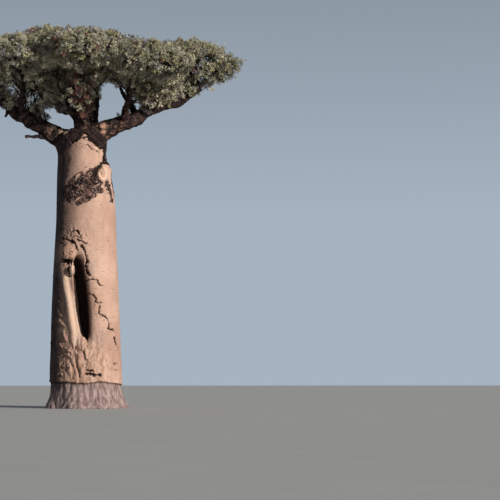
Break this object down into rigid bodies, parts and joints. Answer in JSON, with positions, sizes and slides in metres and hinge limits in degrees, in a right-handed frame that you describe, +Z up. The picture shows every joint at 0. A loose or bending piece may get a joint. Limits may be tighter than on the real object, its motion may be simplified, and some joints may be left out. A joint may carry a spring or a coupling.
{
  "type": "baobab tree",
  "caption": "Tall baobab with a bare bottle-shaped trunk, a deep cleft in its front, short spreading boughs and a flat, open crown of leafy masses.",
  "frame": {"origin": "centre of the trunk's flat cut at ground level", "axes": "+Z up along the trunk, -Y out of the cleft in the trunk's front, +X along the longest bough"},
  "size_m": [17.7338, 16.5166, 21.767],
  "materials": {
    "bark_pale": "matt",
    "bark_dark": "matt",
    "foliage": "matt"
  },
  "bodies": {
    "root": {"trunk": "bark_pale", "bough_west": "bark_dark", "bough_east": "bark_dark", "bough_northeast": "bark_dark", "bough_northwest": "bark_dark", "bough_south": "bark_dark", "bough_top_west": "bark_dark", "bough_top_south": "bark_dark", "branch_back_high": "bark_dark", "branch_north": "bark_dark", "branch_southwest": "bark_dark", "branch_southeast": "bark_dark", "branch_top_east": "bark_dark", "branch_top_north": "bark_dark", "branch_low_east": "bark_dark", "branch_low_west": "bark_dark", "branch_heart": "bark_dark", "stub_west": "bark_dark", "knob_west": "bark_dark", "mass_east": "foliage", "mass_northeast": "foliage", "mass_back_high": "foliage", "mass_north": "foliage", "mass_northwest": "foliage", "mass_west": "foliage", "mass_southwest": "foliage", "mass_south": "foliage", "mass_southeast": "foliage", "mass_top_east": "foliage", "mass_top_north": "foliage", "mass_top_west": "foliage", "mass_top_south": "foliage", "mass_low_east": "foliage", "mass_low_west": "foliage", "mass_heart": "foliage"}
  },
  "joints": []
}
